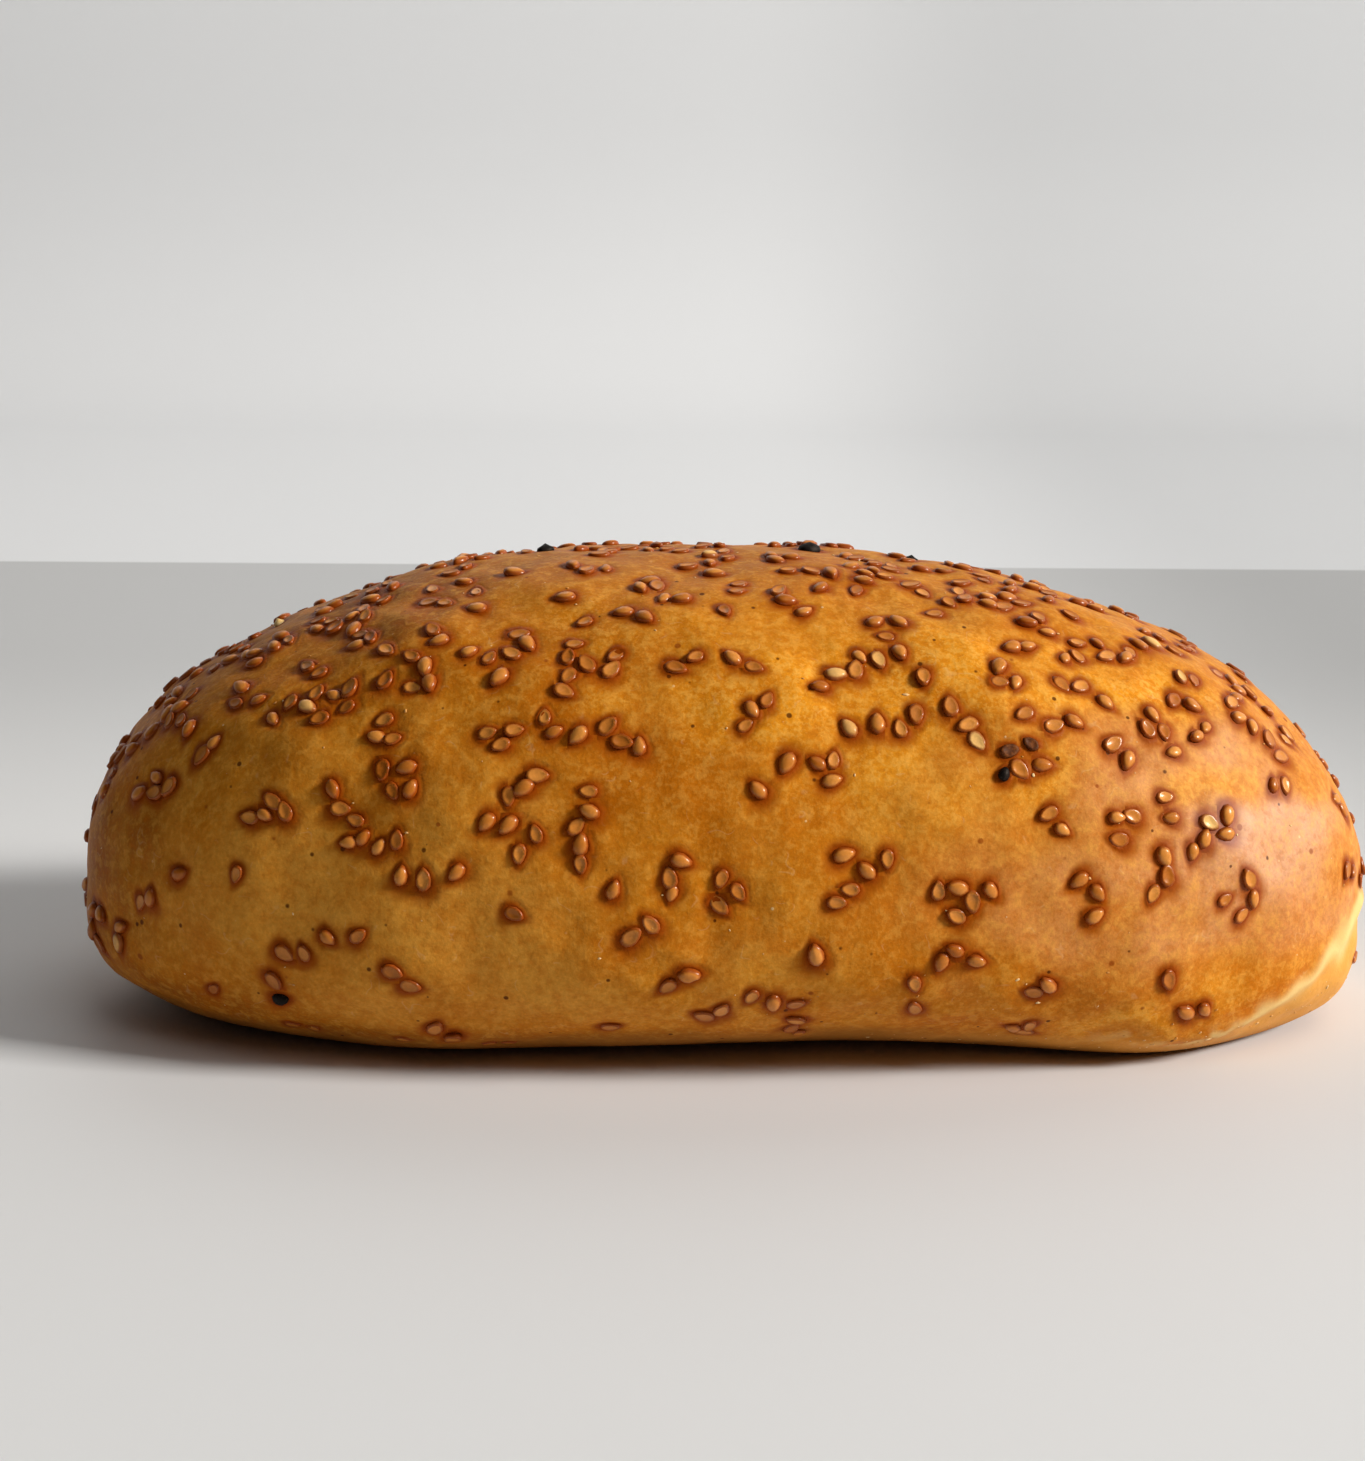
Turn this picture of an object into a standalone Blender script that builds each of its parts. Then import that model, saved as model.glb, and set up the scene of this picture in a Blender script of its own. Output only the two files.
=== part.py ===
# Sesame bread roll: one baked body with its seeds fused on.
# X runs along the roll, the shown side looks along -Y, +Z is up, and the flat base lies on z = 0.
# Every length is in metres and every named angle in degrees.

import math

import bpy
import numpy as np
from mathutils import Matrix, Vector

NODE = "bread_roll"

# Driving dimensions of the baked body
LENGTH = 0.1685
WIDTH = 0.0824
HEIGHT = 0.0603
WIDEST_HEIGHT = 0.0199  # the level at which the sides bulge furthest
BASE_SINK = 0.0030  # what the tray flattened off the round underside
BASE_EASE = 0.0015  # the rounding where the flat base turns into the sides
END_DROP = (0.0019, 0.0040)  # the left and right tips lie this much below the widest level
END_SWING = 0.0017  # both tips bend this far towards the shown side

# How blunt the left and the right end are, as superellipse exponents
TOP_BLUNTNESS = (2.30, 2.31)
SIDE_BLUNTNESS = (2.24, 2.33)
BASE_BLUNTNESS = (3.45, 3.70)
CROWN_SQUARENESS = 2.25
FLANK_SQUARENESS = 2.20

# Swellings and hollows of the dough: place along X, angle round the body, reach along X,
# reach in angle, and height. Angles run from 0 at the shown side over 90 on top.
LUMPS = (
    (0.055, -50, 0.013, 34, 0.0016),
    (0.020, -50, 0.021, 34, -0.0011),
    (-0.040, -50, 0.014, 34, 0.0009),
    (-0.060, 66, 0.014, 26, -0.0008),
    (-0.034, 84, 0.016, 30, 0.0008),
    (0.016, 52, 0.008, 22, -0.0006),
    (0.001, 46, 0.012, 22, 0.0006),
    (0.034, 40, 0.012, 20, 0.0006),
    (0.030, 130, 0.022, 30, -0.0009),
    (-0.020, 142, 0.018, 28, 0.0008),
    (-0.050, 190, 0.020, 30, -0.0007),
    (0.052, 205, 0.018, 30, 0.0008),
)

# Facets of the body
RINGS = 42
SEGMENTS = 32
SLOPE_STEP = 0.001  # the small turn, in radians, over which the crust's slope is taken
SHARPEST_SMOOTH = 35  # steeper edges, those of the seeds, look sharp

# Sesame seeds
SEED_LENGTH = 0.0029
SEED_WIDTH = 0.0020
SEED_RISE = 0.0007  # how far a seed stands out of the crust
SEED_ROOT = 0.0008  # how far its lower end reaches into the crust
SEED_EDGE = 0.3  # the widest outline lies this share of the root below the crust
SEED_SIDES = 6
SEED_CROWN = 0.62  # size of the flat top against the widest outline
SEED_POINT = 0.28  # how far the outline draws in towards the pointed tip
SEED_SIZES = (0.84, 1.12)
FUSED_SEEDS = 300  # the largest of the sprinkled ones

# How the seeds were sprinkled
SPRINKLE_DRAW = 4
SPRINKLED_SEEDS = 760
PINCHES = (1, 1, 2, 2, 3, 3, 4)  # how many seeds land together
PINCH_GAP = 0.0034  # a pinch lands at least this far from the seeds that lie there
STRAY_SHARE = 0.16  # this many of the pinches keep no such distance
SEED_GAP = 0.0019  # no two seed centres are nearer than this
CLUMP_GAP = (0.0021, 0.0031)  # how far a seed that landed against another lies from it
TOP_ANGLE = 88  # seeds lie thickest round this angle
TOP_SPREAD = 55  # they thin out over this angle
SIDE_SHARE = 0.20  # how many stuck on the sides, against the top
END_SHARE = 1.8  # how many stuck round the ends, against the middle of the sides
LOWEST_ANGLE = -40
TIP_ANGLE = 81  # none sits nearer to a tip than this, counted from the middle


def by_end(pair, along):
    """A value that passes smoothly from the left end's to the right end's."""
    share = 0.5 + 0.5 * np.sin(along)
    share = share * share * (3 - 2 * share)
    return pair[0] + (pair[1] - pair[0]) * share


def rounding(a, b, exponent):
    """Distance at which the direction (a, b) meets a superellipse of unit size."""
    return (np.abs(a) ** exponent + np.abs(b) ** exponent) ** (-1 / exponent)


def lump_height(x, around):
    """Sum of the swellings and hollows at a place on the body."""
    height = np.zeros(np.broadcast(x, around).shape)
    for place, angle, reach, spread, rise in LUMPS:
        away = around - math.radians(angle)
        turn = np.degrees(np.arctan2(np.sin(away), np.cos(away)))
        height = height + rise * np.exp(-(((x - place) / reach) ** 2) - (turn / spread) ** 2)
    return height


def crust_point(along, around):
    """Points of the crust: along runs from -pi/2 at the left tip to pi/2 at the right one."""
    ahead, out = np.sin(along), np.cos(along)
    up, side = np.sin(around), np.cos(around)
    bluntness = (
        side**2 * by_end(SIDE_BLUNTNESS, along)
        + np.clip(up, 0, 1) ** 2 * by_end(TOP_BLUNTNESS, along)
        + np.clip(-up, 0, 1) ** 2 * by_end(BASE_BLUNTNESS, along)
    )
    end = rounding(ahead, out, bluntness)
    section = rounding(side, up, np.where(up >= 0, CROWN_SQUARENESS, FLANK_SQUARENESS))
    reach = end * ahead
    x = LENGTH / 2 * reach
    girth = end * out * section
    lump = lump_height(x, around) * out
    drop = np.where(reach < 0, END_DROP[0], END_DROP[1]) * reach**2
    rise = np.where(up >= 0, HEIGHT - WIDEST_HEIGHT, WIDEST_HEIGHT + BASE_SINK)
    y = -(WIDTH / 2 * girth + lump) * side - END_SWING * reach**2
    z = WIDEST_HEIGHT - drop + (rise * girth + lump) * up
    eased = np.clip(z + BASE_EASE, 0, None) ** 2 / (4 * BASE_EASE)
    z = np.where(z > BASE_EASE, z, eased)
    return np.stack(np.broadcast_arrays(x, y, z), -1)


def crust_slopes(along, around):
    """How the crust's point moves with each of the two angles."""
    ahead = crust_point(along + SLOPE_STEP, around) - crust_point(along - SLOPE_STEP, around)
    round_it = crust_point(along, around + SLOPE_STEP) - crust_point(along, around - SLOPE_STEP)
    return ahead / (2 * SLOPE_STEP), round_it / (2 * SLOPE_STEP)


def crust_frame(along, around):
    """Point, two directions in the crust, the outward normal and the area that one square radian covers."""
    ahead, round_it = crust_slopes(along, around)
    normal = np.cross(ahead, round_it)
    area = np.linalg.norm(normal)
    normal = normal / area
    ahead = ahead / np.linalg.norm(ahead)
    return crust_point(along, around), ahead, np.cross(normal, ahead), normal, area


def body_object():
    """The baked body, a grid of rings closed by one point at each tip."""
    along = (np.arange(1, RINGS) / RINGS - 0.5) * math.pi
    around = np.arange(SEGMENTS) / SEGMENTS * 2 * math.pi
    rings = crust_point(along[:, None], around[None, :]).reshape(-1, 3)
    tips = crust_point(np.array([-math.pi / 2, math.pi / 2]), np.zeros(2))
    left, right = len(rings), len(rings) + 1
    last = (RINGS - 2) * SEGMENTS
    faces = []
    for k in range(SEGMENTS):
        beside = (k + 1) % SEGMENTS
        faces.append((left, beside, k))
        faces.append((right, last + k, last + beside))
        for ring in range(RINGS - 2):
            near, far = ring * SEGMENTS, (ring + 1) * SEGMENTS
            faces.append((near + k, near + beside, far + beside, far + k))
    mesh = bpy.data.meshes.new(NODE)
    mesh.from_pydata(np.vstack([rings, tips]).tolist(), [], faces)
    mesh.shade_smooth()
    body = bpy.data.objects.new(NODE, mesh)
    bpy.context.scene.collection.objects.link(body)
    return body


def seed_mesh():
    """One teardrop seed of few sides, its tip along +X and its root below the crust."""
    turns = [2 * math.pi * k / SEED_SIDES for k in range(SEED_SIDES)]
    outline = []
    for turn in turns:
        draw_in = 1 - SEED_POINT * max(math.cos(turn), 0)
        outline.append((SEED_LENGTH / 2 * math.cos(turn), SEED_WIDTH / 2 * math.sin(turn) * draw_in))
    points = [(0, 0, -SEED_ROOT)]
    points += [(x, y, -SEED_ROOT * SEED_EDGE) for x, y in outline]
    points += [(x * SEED_CROWN, y * SEED_CROWN, SEED_RISE) for x, y in outline]
    top = list(range(1 + SEED_SIDES, 1 + 2 * SEED_SIDES))
    faces = [tuple(top)]
    for k in range(SEED_SIDES):
        beside = (k + 1) % SEED_SIDES
        faces.append((0, 1 + beside, 1 + k))
        faces.append((1 + k, 1 + beside, top[beside], top[k]))
    mesh = bpy.data.meshes.new("sesame_seed")
    mesh.from_pydata(points, [], faces)
    return mesh


def seed_density(along, around):
    """How thickly the seeds lie: most on top, fewer on the sides and fewest in their middle."""
    away = math.degrees(around) - TOP_ANGLE
    on_side = SIDE_SHARE * (1 + (END_SHARE - 1) * math.sin(along) ** 2)
    on_top = math.exp(-((away / TOP_SPREAD) ** 2))
    return on_side + (1 - on_side) * on_top


def beside_seed(along, around, draw):
    """A place a little further on the crust, in any direction."""
    heading = draw.uniform(0, 2 * math.pi)
    step = draw.uniform(*CLUMP_GAP)
    ahead, round_it = crust_slopes(along, around)
    return (
        along + step * math.cos(heading) / np.linalg.norm(ahead),
        around + step * math.sin(heading) / np.linalg.norm(round_it),
    )


def on_seeded_crust(along, around):
    """Whether seeds reach this place: not the very tips, and not the underside."""
    angle = math.degrees(around)
    return abs(math.degrees(along)) < TIP_ANGLE and LOWEST_ANGLE < angle < 180 - LOWEST_ANGLE


def is_clear(point, centres, gap):
    """Whether a point keeps this distance from every centre."""
    return all(np.linalg.norm(point - centre) > gap for centre in centres)


def sprinkle():
    """Places of the seeds as (along, around, turn, size), the largest first."""
    draw = np.random.default_rng(SPRINKLE_DRAW)
    largest_area = LENGTH * WIDTH / 3
    places, centres = [], []
    while len(places) < SPRINKLED_SEEDS:
        along = draw.uniform(-1, 1) * math.radians(TIP_ANGLE)
        around = math.radians(draw.uniform(LOWEST_ANGLE, 180 - LOWEST_ANGLE))
        area = crust_frame(along, around)[-1]
        if draw.random() * largest_area > area * seed_density(along, around):
            continue
        apart = SEED_GAP if draw.random() < STRAY_SHARE else PINCH_GAP
        if not is_clear(crust_point(along, around), centres, apart):
            continue
        for _ in range(draw.choice(PINCHES)):
            point = crust_point(along, around)
            turn, size = draw.uniform(0, 2 * math.pi), draw.uniform(*SEED_SIZES)
            if is_clear(point, centres, SEED_GAP) and on_seeded_crust(along, around):
                places.append((along, around, turn, size))
                centres.append(point)
            along, around = beside_seed(along, around, draw)
    return sorted(places[:SPRINKLED_SEEDS], key=lambda place: -place[3])


def seed_objects(collection):
    """The largest of the sprinkled seeds, each lying flat on the crust."""
    mesh = seed_mesh()
    for number, (along, around, turn, size) in enumerate(sprinkle()[:FUSED_SEEDS]):
        point, ahead, beside, normal, _ = crust_frame(along, around)
        axes = Matrix((ahead, beside, normal)).transposed().to_4x4()
        seed = bpy.data.objects.new(f"seed_{number:03d}", mesh)
        placed = Matrix.Translation(Vector(point)) @ axes
        seed.matrix_world = placed @ Matrix.Rotation(turn, 4, "Z") @ Matrix.Scale(size, 4)
        collection.objects.link(seed)


def fuse(body, collection):
    """Joins the seeds to the body as one closed solid, and removes what they were made from."""
    union = body.modifiers.new("seeds_on_crust", "BOOLEAN")
    union.operation = "UNION"
    union.operand_type = "COLLECTION"
    union.collection = collection
    union.solver = "EXACT"
    bpy.context.view_layer.update()
    evaluated = body.evaluated_get(bpy.context.evaluated_depsgraph_get())
    joined = bpy.data.meshes.new_from_object(evaluated)
    body.modifiers.clear()
    body.data = joined
    joined.name = NODE
    for seed in list(collection.objects):
        bpy.data.objects.remove(seed)
    bpy.data.collections.remove(collection)


def crust_material():
    """Egg-washed golden crust."""
    material = bpy.data.materials.new("golden_crust")
    material.use_nodes = True
    shader = material.node_tree.nodes["Principled BSDF"]
    shader.inputs["Base Color"].default_value = (0.53, 0.23, 0.045, 1)
    shader.inputs["Roughness"].default_value = 0.42
    shader.inputs["Metallic"].default_value = 0.0
    return material


def main():
    for old in list(bpy.data.objects):
        bpy.data.objects.remove(old, do_unlink=True)
    body = body_object()
    seeds = bpy.data.collections.new("seeds")
    bpy.context.scene.collection.children.link(seeds)
    seed_objects(seeds)
    fuse(body, seeds)
    body.data.materials.clear()
    body.data.materials.append(crust_material())
    body.data.set_sharp_from_angle(angle=math.radians(SHARPEST_SMOOTH))


main()
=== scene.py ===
import math

import bpy
import numpy as np
from mathutils import Matrix, Vector


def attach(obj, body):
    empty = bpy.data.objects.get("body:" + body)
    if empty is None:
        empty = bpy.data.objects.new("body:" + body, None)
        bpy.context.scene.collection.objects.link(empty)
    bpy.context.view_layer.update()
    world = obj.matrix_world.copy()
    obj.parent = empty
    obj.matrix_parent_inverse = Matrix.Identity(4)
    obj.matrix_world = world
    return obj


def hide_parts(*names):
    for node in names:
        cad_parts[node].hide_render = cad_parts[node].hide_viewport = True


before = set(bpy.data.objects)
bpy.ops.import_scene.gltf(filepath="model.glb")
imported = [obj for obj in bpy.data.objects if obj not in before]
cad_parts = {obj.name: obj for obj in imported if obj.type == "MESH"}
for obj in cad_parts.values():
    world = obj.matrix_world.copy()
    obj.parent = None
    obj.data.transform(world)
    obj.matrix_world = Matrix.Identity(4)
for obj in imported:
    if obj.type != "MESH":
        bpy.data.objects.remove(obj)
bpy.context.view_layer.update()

# The baked body, with the CAD model's own sizes. Lengths are in metres, named angles in degrees.
loaf = {
    "length": 0.1685,
    "width": 0.0824,
    "height": 0.0603,
    "widestHeight": 0.0199,  # the level at which the sides bulge furthest
    "baseSink": 0.0030,  # what the tray flattened off the round underside
    "baseEase": 0.0015,  # rounding where the flat base turns into the sides
    "endDrop": (0.0019, 0.0040),  # how far the left and the right tip lie below the widest level
    "endSwing": 0.0017,  # both tips bend this far towards the shown side
    "topBluntness": (2.30, 2.31),  # left and right end, as superellipse exponents
    "sideBluntness": (2.24, 2.33),
    "baseBluntness": (3.45, 3.70),
    "crownSquareness": 2.25,
    "flankSquareness": 2.20,
    # swellings and hollows: x, angle round the body, reach in x, reach in angle, height
    "lumps": (
        (0.055, -50, 0.013, 34, 0.0016),
        (0.020, -50, 0.021, 34, -0.0011),
        (-0.040, -50, 0.014, 34, 0.0009),
        (-0.060, 66, 0.014, 26, -0.0008),
        (-0.034, 84, 0.016, 30, 0.0008),
        (0.016, 52, 0.008, 22, -0.0006),
        (0.001, 46, 0.012, 22, 0.0006),
        (0.034, 40, 0.012, 20, 0.0006),
        (0.030, 130, 0.022, 30, -0.0009),
        (-0.020, 142, 0.018, 28, 0.0008),
        (-0.050, 190, 0.020, 30, -0.0007),
        (0.052, 205, 0.018, 30, 0.0008),
    ),
}


def byEnd(pair, along):
    # the left end's value passes into the right end's along a smooth step
    share = 0.5 + 0.5 * np.sin(along)
    share = share * share * (3 - 2 * share)
    return pair[0] + (pair[1] - pair[0]) * share


def rounding(a, b, exponent):
    # distance at which the direction (a, b) meets a superellipse of unit size
    return (np.abs(a) ** exponent + np.abs(b) ** exponent) ** (-1 / exponent)


def lumpHeight(x, around):
    # sum of bell curves in x and in the angle round the body
    height = np.zeros(np.broadcast(x, around).shape)
    for place, angle, reach, spread, rise in loaf["lumps"]:
        away = around - math.radians(angle)
        turn = np.degrees(np.arctan2(np.sin(away), np.cos(away)))
        height = height + rise * np.exp(-(((x - place) / reach) ** 2) - (turn / spread) ** 2)
    return height


def crustPoint(along, around):
    # An ellipsoid of two angles: along runs from -pi/2 at the left tip to pi/2 at the right one, and
    # around is 0 on the shown side and pi/2 on top. Superellipses make its ends and sections blunt,
    # the lumps swell it, and everything below the table's level is pressed flat with a short easing.
    ahead, out = np.sin(along), np.cos(along)
    up, side = np.sin(around), np.cos(around)
    bluntness = (
        side**2 * byEnd(loaf["sideBluntness"], along)
        + np.clip(up, 0, 1) ** 2 * byEnd(loaf["topBluntness"], along)
        + np.clip(-up, 0, 1) ** 2 * byEnd(loaf["baseBluntness"], along)
    )
    end = rounding(ahead, out, bluntness)
    section = rounding(side, up, np.where(up >= 0, loaf["crownSquareness"], loaf["flankSquareness"]))
    reach = end * ahead
    x = loaf["length"] / 2 * reach
    girth = end * out * section
    lump = lumpHeight(x, around) * out
    drop = np.where(reach < 0, loaf["endDrop"][0], loaf["endDrop"][1]) * reach**2
    above = loaf["height"] - loaf["widestHeight"]
    below = loaf["widestHeight"] + loaf["baseSink"]
    y = -(loaf["width"] / 2 * girth + lump) * side - loaf["endSwing"] * reach**2
    z = loaf["widestHeight"] - drop + (np.where(up >= 0, above, below) * girth + lump) * up
    eased = np.clip(z + loaf["baseEase"], 0, None) ** 2 / (4 * loaf["baseEase"])
    z = np.where(z > loaf["baseEase"], z, eased)
    return np.stack(np.broadcast_arrays(x, y, z), -1)


def unit(vectors):
    return vectors / np.maximum(np.linalg.norm(vectors, axis=-1, keepdims=True), 1e-12)


def crustSlopes(along, around):
    # how the point moves with each angle, by central differences
    step = 0.001
    ahead = crustPoint(along + step, around) - crustPoint(along - step, around)
    roundIt = crustPoint(along, around + step) - crustPoint(along, around - step)
    return ahead / (2 * step), roundIt / (2 * step)


# How the seeds were sprinkled: the CAD model's own rule and numbers, so that both agree seed by seed
sprinkling = {
    "draw": 4,
    "seeds": 760,
    "pinches": (1, 1, 2, 2, 3, 3, 4),  # how many land together
    "pinchGap": 0.0034,  # a pinch lands at least this far from the seeds that lie there
    "strayShare": 0.16,  # this many of the pinches keep no such distance
    "gap": 0.0019,  # no two centres are nearer than this
    "clumpGap": (0.0021, 0.0031),  # how far a seed that landed against another lies from it
    "topAngle": 88,
    "topSpread": 55,
    "sideShare": 0.20,
    "endShare": 1.8,
    "lowestAngle": -40,
    "tipAngle": 81,
    "sizes": (0.84, 1.12),
}


def seedDensity(along, around):
    away = math.degrees(around) - sprinkling["topAngle"]
    onSide = sprinkling["sideShare"] * (1 + (sprinkling["endShare"] - 1) * math.sin(along) ** 2)
    return onSide + (1 - onSide) * math.exp(-((away / sprinkling["topSpread"]) ** 2))


def besideSeed(along, around, draw):
    heading = draw.uniform(0, 2 * math.pi)
    step = draw.uniform(*sprinkling["clumpGap"])
    ahead, roundIt = crustSlopes(along, around)
    return (
        along + step * math.cos(heading) / np.linalg.norm(ahead),
        around + step * math.sin(heading) / np.linalg.norm(roundIt),
    )


def onSeededCrust(along, around):
    lowest, angle = sprinkling["lowestAngle"], math.degrees(around)
    return abs(math.degrees(along)) < sprinkling["tipAngle"] and lowest < angle < 180 - lowest


def isClear(point, centres, gap):
    return all(np.linalg.norm(point - centre) > gap for centre in centres)


def sprinkle():
    # rows of along, around, turn and size, the largest seed first
    draw = np.random.default_rng(sprinkling["draw"])
    largestArea = loaf["length"] * loaf["width"] / 3
    tip, lowest = math.radians(sprinkling["tipAngle"]), sprinkling["lowestAngle"]
    places, centres = [], []
    while len(places) < sprinkling["seeds"]:
        along = draw.uniform(-1, 1) * tip
        around = math.radians(draw.uniform(lowest, 180 - lowest))
        area = np.linalg.norm(np.cross(*crustSlopes(along, around)))
        if draw.random() * largestArea > area * seedDensity(along, around):
            continue
        apart = sprinkling["gap"] if draw.random() < sprinkling["strayShare"] else sprinkling["pinchGap"]
        if not isClear(crustPoint(along, around), centres, apart):
            continue
        for _ in range(draw.choice(sprinkling["pinches"])):
            point = crustPoint(along, around)
            turn, size = draw.uniform(0, 2 * math.pi), draw.uniform(*sprinkling["sizes"])
            if isClear(point, centres, sprinkling["gap"]) and onSeededCrust(along, around):
                places.append((along, around, turn, size))
                centres.append(point)
            along, around = besideSeed(along, around, draw)
    return np.array(sorted(places[: sprinkling["seeds"]], key=lambda place: -place[3]))


# Relief that is too fine for the CAD model, laid on along the crust's normal
relief = {
    "draw": 5,
    "waves": ((0.019, 0.00020), (0.0075, 0.00008), (0.0028, 0.000022)),  # length and height of each
    # creases: angle along the roll, angle round it, heading, half length, half width, depth, bend
    "creases": (
        (8.9, 65, 96, 0.0042, 0.00045, 0.00030, 0.5),
        (9.1, 52, 70, 0.0030, 0.00040, 0.00026, -0.6),
        (6.9, 46, 80, 0.0045, 0.00040, 0.00028, 0.7),
        (21.1, 39, 112, 0.0036, 0.00045, 0.00022, -0.5),
        (-2.0, 9, 100, 0.0065, 0.0010, 0.00014, 0.2),
        (-26.0, 37, 20, 0.0010, 0.0006, 0.00040, 0.0),
        (34.0, 74, 40, 0.0034, 0.00050, 0.00024, 0.4),
        (-36.0, 118, 70, 0.0050, 0.00055, 0.00026, -0.4),
        (16.3, 128, 95, 0.0050, 0.00050, 0.00026, 0.5),
    ),
    "blisters": 70,
    "blisterSize": (0.0005, 0.0013),
    "blisterRise": 0.11,  # against its size
    "seedBed": 0.00010,  # how deep the crust dips round a seed
    "seedBedReach": 0.0021,
    "tableFade": (0.0006, 0.0045),  # heights between which it grows to its full depth
    "blisterEnds": 0.93,  # as a share of the length
    "blisterAngles": (-30, 210),
    "blisterFade": (0.001, 0.004),
}


def smoothStep(low, high, value):
    share = np.clip((value - low) / (high - low), 0, 1)
    return share * share * (3 - 2 * share)


def bell(value, width):
    # 1 at zero, falling off as a bell curve
    return np.exp(-((value / width) ** 2))


def ripple(points, length, draw, count=16):
    # sum of sine waves of about one length in random directions, spread about 1
    heading = unit(draw.normal(size=(count, 3)))
    turns = 2 * math.pi / (length * draw.uniform(0.7, 1.35, (count, 1)))
    phase = draw.uniform(0, 2 * math.pi, count)
    return np.sin(points @ (heading * turns).T + phase).sum(-1) * math.sqrt(2 / count)


def tangentFrame(along, around):
    # the point and three unit directions there: along the roll, round it, and outwards
    point = crustPoint(along, around)
    ahead, roundIt = crustSlopes(along, around)
    normal = unit(np.cross(ahead, roundIt))
    ahead = unit(ahead)
    return point, ahead, np.cross(normal, ahead), normal


def creaseHeight(points):
    # a bell across the crease and one along it, with two lower lips at its sides
    height = np.zeros(points.shape[:-1])
    for place, angle, heading, length, width, depth, bend in relief["creases"]:
        turn = math.radians(heading)
        point, ahead, beside, _ = tangentFrame(math.radians(place), math.radians(angle))
        run = (points - point) @ (ahead * math.cos(turn) + beside * math.sin(turn))
        side = (points - point) @ (beside * math.cos(turn) - ahead * math.sin(turn))
        side = side - bend * run**2 / length
        lips = bell(np.abs(side) - 2.0 * width, width)
        height += depth * bell(run, length) * (0.5 * lips - bell(side, width))
    return height


# The edge of the foot round the right end, where the glaze stopped: x and heights in metres
footEdge = {
    "draw": 13,
    "level": 0.0042,  # how high the edge lies at first
    "climb": 0.0125,  # how much it climbs by the tip
    "climbFrom": 0.056,
    "climbLength": 0.027,
    "climbBend": 1.7,
    "fadeIn": (0.040, 0.060),
    "ridge": 0.00032,  # the lip's height and half width
    "ridgeWidth": 0.0011,
    "groove": 0.4,  # depth of the groove below it, against the ridge
    "grooveDrop": 0.0022,
    "grooveWidth": 0.0013,
    "waver": 0.0006,
    "paleWidth": 0.0010,  # half width of the pale band, and what it gains towards the tip
    "paleGain": 0.0007,
    "gainFrom": (0.064, 0.083),
    "wholeFrom": (0.060, 0.070),  # past here the pale band has no breaks
    "lowPale": 0.5,  # how pale the ragged line at the table is, and where it lies
    "lowHeights": (0.0022, 0.0010),
    "lowFadeIn": (0.0, 0.030),
    "thin": 0.7,  # how thin the glaze is below the edge
    "thinDepth": 0.0016,
    "strip": 0.4,  # and along the lower side before the foot
    "stripHeights": (0.0054, 0.0040),
    "stripFadeIn": (0.016, 0.030),
    "stripFadeOut": (0.058, 0.050),
    "underside": (-0.72, -0.93),  # the normal's z where the underside begins and where it is whole
}


def footLine(points):
    # How far a point lies above the foot's edge, which climbs along x as a power. The share is 1 on
    # the foot and fades out along the roll.
    x = points[..., 0]
    climbed = np.clip((x - footEdge["climbFrom"]) / footEdge["climbLength"], 0, 1)
    level = footEdge["level"] + footEdge["climb"] * climbed ** footEdge["climbBend"]
    return points[..., 2] - level, smoothStep(*footEdge["fadeIn"], x)


def nearest(points, centres):
    # for each point the number of the centre that is nearest, and how far it is
    number = np.empty(len(points), int)
    gap = np.empty(len(points))
    batch = 4000
    for start in range(0, len(points), batch):
        part = slice(start, start + batch)
        apart = np.linalg.norm(points[part, None, :] - centres[None, :, :], axis=-1)
        number[part] = apart.argmin(1)
        gap[part] = apart.min(1)
    return number, gap


# Where the glaze pooled round a seed and caramelised
pooling = {
    "reach": 1.15,  # how far a pool reaches, in half lengths
    "runDown": 0.0035,  # a pool reaches further downhill, by one half length for this drop
    "runMost": 0.4,
    "farthest": 0.004,
    "taper": 0.25,  # how far the pool's outline follows the seed's drawn in tip
}


def inHalves(away, tip, beside, size):
    # the way from a seed's middle, in its own half lengths and half widths
    a = (away * tip).sum(-1) / (seedForm["length"] / 2 * size)
    return a, (away * beside).sum(-1) / (seedForm["width"] / 2 * size)


def seedHalo(points, seeds, frames):
    # How much glaze has pooled round the seeds: a smooth step in the distance from each outline, with
    # the pool drawn out downhill, and where pools meet they join
    centres, tips, besides, _ = frames
    clear = np.ones(len(points))
    batch, margin = 2000, 0.005
    for start in range(0, len(points), batch):
        part = points[start : start + batch]
        near = ((centres > part.min(0) - margin) & (centres < part.max(0) + margin)).all(1)
        away = part[:, None, :] - centres[near]
        a, b = inHalves(away, tips[near], besides[near], seeds[near, 3])
        a = np.clip(a, -3, 3)
        downhill = np.clip(away[..., 2] / pooling["runDown"], -pooling["runMost"], 0)
        gap = np.hypot(a, b / (1 - pooling["taper"] * a)) - 1 + downhill
        reached = np.linalg.norm(away, axis=-1) < pooling["farthest"]
        clear[start : start + batch] = (1 - smoothStep(pooling["reach"], 0.0, gap) * reached).prod(1)
    return 1 - clear


def broadRelief(points):
    # waves, creases and the foot's lip, faded out where the roll rests on the table
    draw = np.random.default_rng(relief["draw"])
    height = creaseHeight(points)
    for length, rise in relief["waves"]:
        height = height + rise * ripple(points, length, draw)
    above, present = footLine(points)
    groove = bell(above + footEdge["grooveDrop"], footEdge["grooveWidth"])
    lip = bell(above, footEdge["ridgeWidth"]) - footEdge["groove"] * groove
    height = height + footEdge["ridge"] * present * lip
    return height * smoothStep(*relief["tableFade"], points[..., 2])


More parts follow.
